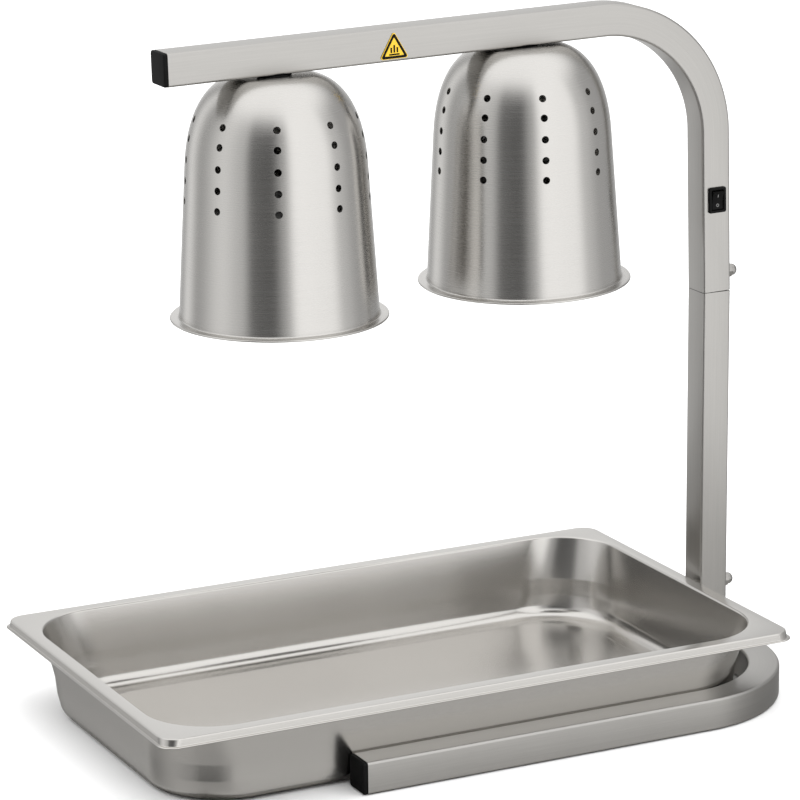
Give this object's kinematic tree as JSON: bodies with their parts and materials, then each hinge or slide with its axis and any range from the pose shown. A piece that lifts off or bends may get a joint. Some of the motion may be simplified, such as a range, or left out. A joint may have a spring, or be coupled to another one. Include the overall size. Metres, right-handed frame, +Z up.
{
  "type": "infrared food warmer",
  "caption": "Heat-lamp food warmer: bent square-tube stand with arm, domed spun shades over infrared lamps, rocker switch, and a gastronorm pan between the legs of the base.",
  "frame": {"origin": "middle of the whole unit's bounding box, on the counter under the base and the pan", "axes": "+X along the pan towards the column, +Y across the pan towards the rear, +Z up"},
  "size_m": [0.571, 0.34, 0.5388],
  "materials": {
    "satin_tube": "satin brushed stainless tube",
    "spun_shade": "spun stainless sheet, fine turning lines",
    "pan_steel": "pressed stainless sheet, satin",
    "joiner_steel": "plain steel tube, mill finish",
    "fastener_steel": "bright plated steel",
    "brass": "plain brass",
    "black_plastic": "moulded black plastic",
    "switch_plastic": "smooth black plastic with white marks",
    "porcelain": "glazed white porcelain",
    "bulb_glass": "clear-fronted reflector lamp glass",
    "label_film": "yellow film with a black symbol",
    "block_plastic": "off-white moulded plastic",
    "wire_sleeve": "heat-resistant woven sleeve"
  },
  "bodies": {
    "stand": {"arm_cap": "black_plastic", "arm_tube": "satin_tube", "base_cap_front": "black_plastic", "base_cap_rear": "black_plastic", "base_joiner": "joiner_steel", "base_tube": "satin_tube", "cable_gland": "black_plastic", "column_joiner": "joiner_steel", "gland_nut": "black_plastic", "heat_label": "label_film", "left_bulb": "bulb_glass", "left_bulb_cap": "brass", "left_contact": "brass", "left_lamp_lead": "wire_sleeve", "left_lampholder": "porcelain", "left_nipple": "brass", "left_nipple_nut": "fastener_steel", "left_screw_liner": "brass", "left_shade": "spun_shade", "left_spacer": "black_plastic", "lower_cap_nut": "fastener_steel", "lower_column": "satin_tube", "lower_stud": "fastener_steel", "lower_washer": "fastener_steel", "lower_weld_nut": "fastener_steel", "right_bulb": "bulb_glass", "right_bulb_cap": "brass", "right_contact": "brass", "right_lamp_lead": "wire_sleeve", "right_lampholder": "porcelain", "right_nipple": "brass", "right_nipple_nut": "fastener_steel", "right_screw_liner": "brass", "right_shade": "spun_shade", "right_spacer": "black_plastic", "switch_housing": "switch_plastic", "switch_lead": "wire_sleeve", "switch_pin": "fastener_steel", "switch_tab_lamps": "brass", "switch_tab_line": "brass", "terminal_block": "block_plastic", "upper_cap_nut": "fastener_steel", "upper_stud": "fastener_steel", "upper_washer": "fastener_steel", "upper_weld_nut": "fastener_steel"},
    "pan": {"gastronorm_pan": "pan_steel"},
    "rocker": {"switch_rocker": "switch_plastic"}
  },
  "joints": [
    {"name": "pan_lift", "type": "slide", "parent": "stand", "child": "pan", "axis": [0, 0, 1], "range_m": [0, 0.15]},
    {"name": "rocker_tilt", "type": "hinge", "parent": "stand", "child": "rocker", "pos_m": [0.25918, -0.0125, 0.37638], "axis": [0.9998, 0, 0.0209], "range_deg": [-16.8, 0]}
  ]
}
